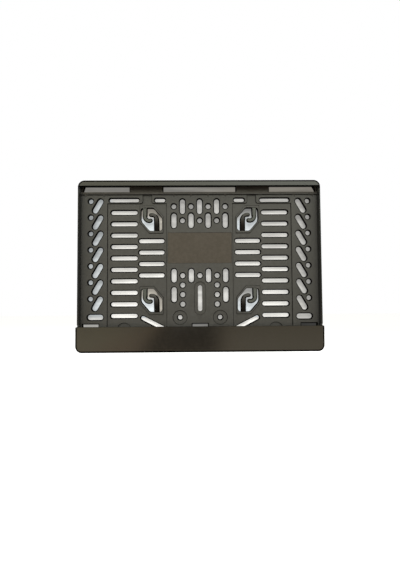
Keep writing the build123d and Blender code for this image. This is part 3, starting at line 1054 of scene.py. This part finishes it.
@dataclass(frozen=True)
class PaperSheet:
    """The white sheet close behind the holder, shown only to the eye and only from its front."""

    gap: float = 0.8 * MM
    margin: float = 1.5 * MM
    plain: Colour = (0.8, 0.79, 0.76, 1.0)
    warm: Colour = (0.8, 0.75, 0.66, 1.0)
    cool: Colour = (0.77, 0.82, 0.85, 1.0)
    glow: float = 0.64
    glow_gain: float = 1.25
    centre_side: Span = Span(46.0 * MM, 52.0 * MM, 0.6, 1.0)
    outer_side: Span = Span(130.0 * MM, 136.0 * MM, 1.0, 0.6)
    right_side: Span = Span(45.0 * MM, 55.0 * MM, 1.0, 0.91)
    top_edge: Span = Span(100.0 * MM, 104.0 * MM)
    top_tone: Span = Span(0.0, 1.0, 1.0, 0.45)
    top_warmth: Span = Span(-50.0 * MM, 100.0 * MM, 0.3, 1.0)
    fade: Span = Span(-100.0 * MM, 110.0 * MM, 1.0, 0.72)
    lip_shadow: Span = Span(116.8 * MM, 118.0 * MM, 1.0, 0.02)
    hook_top: Span = Span(-84.0 * MM, -81.0 * MM, 1.0, 0.0)
    right_hook: Span = Span(95.0 * MM, 100.0 * MM, 0.0, 0.88)
    middle_hook: Span = Span(30.0 * MM, 35.0 * MM, 0.5, 0.0)
    crease_stretch: tuple[float, float, float] = (0.15, 1.0, 1.0)
    crease_scale: float = 110.0
    crease_tone: Span = Span(0.3, 0.7, 0.84, 1.14)
    cool_side: Span = Span(-136.0 * MM, -126.0 * MM, 0.9, 0.0)
    cool_bottom: Span = Span(-78.0 * MM, -70.0 * MM)
    left_half: Span = Span(-10.0 * MM, 10.0 * MM, 1.0, 0.0)
    windows: tuple[tuple[float, float], ...] = ((69.5 * MM, 0.08), (-49.5 * MM, 0.24))
    window_inner: Span = Span(53.0 * MM, 54.0 * MM)
    window_outer: Span = Span(86.0 * MM, 87.0 * MM, 1.0, 0.0)
    window_bottom: Span = Span(-26.0 * MM, -25.0 * MM)
    window_top: Span = Span(18.0 * MM, 19.0 * MM, 1.0, 0.0)
    window_shade: Span = Span(-4.0 * MM, 14.0 * MM, 0.0, 0.55)
    window_cool: Span = Span(-4.0 * MM, 8.0 * MM, 1.0, 0.15)
    window_warm: Span = Span(0.0, 8.0 * MM)
    sliver: Span = Span(61.5 * MM, 64.5 * MM, 1.0, 0.0)
    sliver_dim: float = 0.3

    def build(self, low: Vector, high: Vector) -> None:
        """Hang the sheet.

        Args:
            low: Lowest corner of the holder.
            high: Highest corner of the holder.
        """
        y = high.y + self.gap
        left, right = low.x + self.margin, high.x - self.margin
        bottom, top = low.z + self.margin, high.z - self.margin
        outline = ((left, bottom), (right, bottom), (right, top), (left, top))
        panel = StagePanel("paper_sheet", "white_paper", [Vector((x, y, z)) for x, z in outline])
        graph = panel.graph
        sheet = self.toned(graph)
        glow = graph.node("Emission", Color=graph.scaled(sheet, self.glow_gain), Strength=self.glow)
        seen = ray_mask(graph, Ray.CAMERA)
        front = graph.inverse(graph.node("NewGeometry").outputs["Backfacing"])
        white = panel.added(graph.node("BsdfDiffuse", Color=sheet), glow)
        panel.show(white, graph.math("MULTIPLY", seen, front))

    def toned(self, graph: Graph) -> bpy.types.NodeSocket:
        """Give the sheet's colour, with painted shadows of the holder on it and tints of the light.

        Args:
            graph: The sheet's graph.

        Returns:
            The colour's socket.
        """
        place = graph.parts("Object")
        across, rise = place.outputs["X"], place.outputs["Z"]
        aside = graph.math("ABSOLUTE", across)
        # Painted shadow: the sheet darkens in the middle, on the right, towards the top, under the lip and
        # behind the hooks
        top = graph.ramp(rise, self.top_edge)
        sides = graph.math("MINIMUM", graph.ramp(aside, self.centre_side), graph.ramp(aside, self.outer_side))
        right_hook, middle_hook = graph.ramp(across, self.right_hook), graph.ramp(aside, self.middle_hook)
        hooks = graph.math("MAXIMUM", right_hook, middle_hook)
        hooks = graph.math("MULTIPLY", graph.ramp(rise, self.hook_top), hooks)
        tone = graph.joined(
            "MULTIPLY",
            graph.math("MAXIMUM", sides, top),
            graph.ramp(across, self.right_side),
            graph.ramp(rise, self.fade),
            graph.ramp(top, self.top_tone),
            graph.ramp(rise, self.lip_shadow),
            graph.inverse(hooks),
            graph.ramp(self.creases(graph), self.crease_tone),
        )
        open_bay = graph.math("MINIMUM", graph.ramp(rise, self.cool_bottom), graph.inverse(top))
        cool: object = graph.math("MULTIPLY", graph.ramp(across, self.cool_side), open_bay)
        warm: object = 0.0
        left = graph.ramp(across, self.left_half)
        sliver = graph.math("MULTIPLY", left, graph.ramp(aside, self.sliver))
        # Painted shadows of the fingers in the upper part of each finger window, warm in the shade and cool
        # lower down
        for centre, dim in self.windows:
            up = graph.math("SUBTRACT", rise, centre)
            inside = graph.joined(
                "MULTIPLY",
                graph.ramp(aside, self.window_inner),
                graph.ramp(aside, self.window_outer),
                graph.ramp(up, self.window_bottom),
                graph.ramp(up, self.window_top),
            )
            shade = graph.ramp(up, replace(self.window_shade, start=dim))
            dark = graph.math("MULTIPLY_ADD", sliver, self.sliver_dim, shade)
            tone = graph.math("MULTIPLY", tone, graph.inverse(graph.math("MULTIPLY", dark, inside)))
            shadow = graph.math("MULTIPLY", left, graph.ramp(up, self.window_warm))
            shadow = graph.math("MULTIPLY", inside, graph.math("MAXIMUM", sliver, shadow))
            warm = graph.math("MAXIMUM", warm, shadow)
            light = graph.math("MULTIPLY", inside, graph.ramp(up, self.window_cool))
            cool = graph.math("MAXIMUM", cool, light)
        # Painted tints of the light: warm in the shadow at the top, cool on the far left
        warmth = graph.math("MULTIPLY", top, graph.ramp(across, self.top_warmth))
        sheet = graph.blend(warmth, self.plain, self.warm)
        sheet = graph.blend(cool, sheet, self.cool)
        return graph.scaled(graph.blend(warm, sheet, self.warm), tone)

    def creases(self, graph: Graph) -> bpy.types.NodeSocket:
        """Give the noise of the sheet's long soft creases.

        Args:
            graph: The sheet's graph.

        Returns:
            The noise's socket.
        """
        stretched = graph.node("Mapping", Vector=graph.node("TexCoord").outputs["Object"])
        stretched.inputs["Scale"].default_value = self.crease_stretch
        noise = graph.node("TexNoise", Vector=stretched.outputs[0], Scale=self.crease_scale, Detail=1.0)
        return noise.outputs[0]


@dataclass(frozen=True)
class DarkFlag:
    """A dark cloth in front of the holder, which only reflections see."""

    y: float = -0.6
    left: float = -0.26
    right: float = 0.12
    bottom: float = -0.24
    top: float = -0.12
    lean: float = -0.77
    lean_start: float = -0.112
    left_edge: Span = Span(-0.175, -0.085)
    right_edge: Span = Span(0.03, 0.115, 1.0, 0.0)
    colour: Colour = (0.12, 0.09, 0.07, 1.0)

    def build(self) -> None:
        """Stand the cloth in front."""
        left, right, bottom, top = self.left, self.right, self.bottom, self.top
        outline = ((right, bottom), (left, bottom), (left, top), (right, top))
        panel = StagePanel("dark_flag", "dark_cloth", [Vector((x, self.y, z)) for x, z in outline])
        graph = panel.graph
        place = graph.parts("Object")
        across = place.outputs["X"]
        lean = graph.math("MULTIPLY_ADD", place.outputs["Z"], self.lean, self.lean_start)
        left_part = graph.ramp(graph.math("ADD", across, lean), self.left_edge)
        share = graph.math("MULTIPLY", left_part, graph.ramp(across, self.right_edge))
        panel.show(graph.node("Emission", Color=self.colour, Strength=1.0), share)
        panel.piece.visible_camera = False
        panel.piece.visible_diffuse = False
        panel.piece.visible_shadow = False


@dataclass(frozen=True)
class Studio:
    """Pale floor, white paper behind the holder, white surroundings and soft lamps."""

    surroundings: Surroundings = Surroundings()
    floor: Floor = Floor()
    paper: PaperSheet = PaperSheet()
    flag: DarkFlag = DarkFlag()
    lamps: tuple[Softbox, ...] = (
        Softbox("top_softbox", Vector((0.0, -1.05, 0.85)), width=1.1, height=0.7, power=12.0),
        Softbox("back_softbox", Vector((0.3, 1.0, 0.6)), width=1.0, height=1.0, power=16.0),
    )

    def build(self, low: Vector, high: Vector) -> None:
        """Make the surroundings of the holder.

        Args:
            low: Lowest corner of the holder.
            high: Highest corner of the holder.
        """
        self.surroundings.build()
        self.floor.build(low)
        self.paper.build(low, high)
        self.flag.build()
        for lamp in self.lamps:
            lamp.build()


def frame_finish() -> MouldedPlastic:
    """Give the frame's grained dark plastic.

    Returns:
        The finish.
    """
    return MouldedPlastic(
        name="frame_plastic",
        dark=(0.0448, 0.0436, 0.0405, 1.0),
        light=(0.0648, 0.0635, 0.0597, 1.0),
        wear_highlight=(0.085, 0.081, 0.074, 1.0),
        roughness=0.5,
        haze_roughness=0.62,
        grain_scale=1300.0,
        pit_share=0.6,
        grain_height=0.06 * MM,
        grain_strength=0.6,
        specular=0.5,
        polish_and_wall_shade=(0.0195, 0.02, 0.0195, 1.0),
        polish_roughness=0.24,
        edge_shade_band=PaintedEdgeShade(
            half_width=174.0 * MM,
            reach=122.7 * MM,
            radius=9.5 * MM,
            width=2.5 * MM,
            points_up=True,
            start=110.0 * MM,
            front=15.3 * MM,
        ),
    )


def strip_finish() -> MouldedPlastic:
    """Give the strip's glossy black plastic.

    Returns:
        The finish.
    """
    return MouldedPlastic(
        name="strip_plastic",
        dark=(0.016, 0.0145, 0.0115, 1.0),
        light=(0.019, 0.017, 0.0138, 1.0),
        wear_highlight=(0.05, 0.047, 0.042, 1.0),
        roughness=0.13,
        haze_roughness=0.2,
        grain_scale=220.0,
        pit_share=0.1,
        grain_height=0.02 * MM,
        grain_strength=0.12,
        specular=0.5,
        polish_and_wall_shade=(0.016, 0.015, 0.013, 1.0),
        polish_roughness=0.14,
        edge_shade_band=PaintedEdgeShade(
            half_width=175.5 * MM,
            reach=122.7 * MM,
            radius=9.2 * MM,
            width=2.5 * MM,
            points_up=False,
            start=0.0,
            front=16.9 * MM,
        ),
    )


def frame_moulding() -> Moulding:
    """Give the slotted frame, with each kind of front edge in the order of rounding.

    Returns:
        The moulding.
    """
    hole = FrontRim(1.4 * MM, front=8.0 * MM, back=4.0 * MM, least_wall=2.3 * MM, most_wall=9.0 * MM)
    window = replace(hole, radius=0.6 * MM, back=6.0 * MM, aside=(53.0 * MM, 87.0 * MM), top=92.0 * MM)
    finger = FrontRim(1.5 * MM, front=8.0 * MM, back=2.8 * MM, wall=Wall.FINGER)
    step = FrontRim(0.5 * MM, front=8.0 * MM, back=4.0 * MM, least_wall=1.0 * MM, most_wall=1.6 * MM)
    window_rim = replace(step, radius=0.4 * MM, aside=(49.0 * MM, 91.0 * MM), top=88.0 * MM)
    slot_rim = replace(step, radius=0.25 * MM, aside=(-1.0 * MM, 9.0 * MM), top=-10.0 * MM)
    low_step = FrontRim(0.02 * MM, front=8.0 * MM, back=4.0 * MM, most_wall=0.95 * MM)
    ring = replace(low_step, aside=(-1.0 * MM, 4.0 * MM), top=-66.0 * MM)
    rail = FrontRim(0.6 * MM, front=9.0 * MM, back=8.0 * MM, least_wall=1.8 * MM, most_wall=3.6 * MM)
    lip = FrontRim(0.35 * MM, front=16.0 * MM, back=15.0 * MM, least_wall=2.4 * MM, most_wall=2.8 * MM)
    outer = FrontRim(0.35 * MM, front=16.0 * MM, back=15.0 * MM, wall=Wall.CHAMFER)
    return Moulding(
        "base_frame",
        "frame_moulding",
        "frame_plastic",
        edge_radius=0.22 * MM,
        rims=(window, hole, finger, window_rim, ring, slot_rim, step, rail, lip, outer),
        close_corners=(
            CloseCorners(left=54.0 * MM, right=86.0 * MM, distance=0.36 * MM),
            CloseCorners(left=160.0 * MM, right=175.0 * MM, distance=0.25 * MM, bottom=106.0 * MM),
        ),
        textured=TexturedZone(front=9.0 * MM, back=3.0 * MM, top=125.0 * MM, wall_front=1.6 * MM),
        shaded=ShadedZone(
            panel_front=8.2 * MM,
            rim_back=12.0 * MM,
            panel_back=1.6 * MM,
            half_width=172.5 * MM,
            half_height=121.0 * MM,
            lip_bottom=105.0 * MM,
            web_low=100.0 * MM,
            web_high=103.9 * MM,
            web_back=6.55 * MM,
        ),
        bare=BareField(front=6.3 * MM, back=6.1 * MM, half_width=48.0 * MM),
        up_fingers=SlopingFront(leans_up=False),
        down_fingers=SlopingFront(leans_up=True),
    )


def strip_moulding() -> Moulding:
    """Give the cover strip that clips over the frame's lower edge.

    Returns:
        The moulding.
    """
    ends = CloseCorners(left=172.0 * MM, right=176.0 * MM, distance=0.45 * MM, bottom=-90.0 * MM)
    return Moulding(
        "lower_strip",
        "strip_moulding",
        "strip_plastic",
        edge_radius=0.25 * MM,
        edge_steps=3,
        close_corners=(ends,),
        textured=TexturedZone(front=18.0 * MM, back=15.0 * MM, top=0.0),
        shaded=ShadedZone(panel_front=0.0, rim_back=12.0 * MM),
    )


def main() -> None:
    """Build the holder's pieces, their finishes, the studio and the camera."""
    logging.basicConfig(level=logging.INFO, format="%(name)s: %(message)s")
    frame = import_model()
    low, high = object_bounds()
    bpy.context.scene.view_settings.view_transform = "Standard"
    effects = Effects(mould_grain_group(), handling_group(), edge_wear_highlight_group())
    pieces = ((frame_moulding(), frame_finish()), (strip_moulding(), strip_finish()))
    for moulding, finish in pieces:
        piece = moulding.build(frame["nodes"][moulding.node], finish.material(effects))
        LOG.info("%s: %d faces", piece.name, len(piece.data.polygons))
    Studio().build(low, high)
    PhotoCamera(
        place=Vector((-4.9, -461.8, -44.3)) * MM,
        yaw=math.radians(-0.613),
        pitch=math.radians(2.069),
        roll=math.radians(0.370),
        focal_pixels=315.4,
    ).build()


if __name__ == "__main__":
    main()
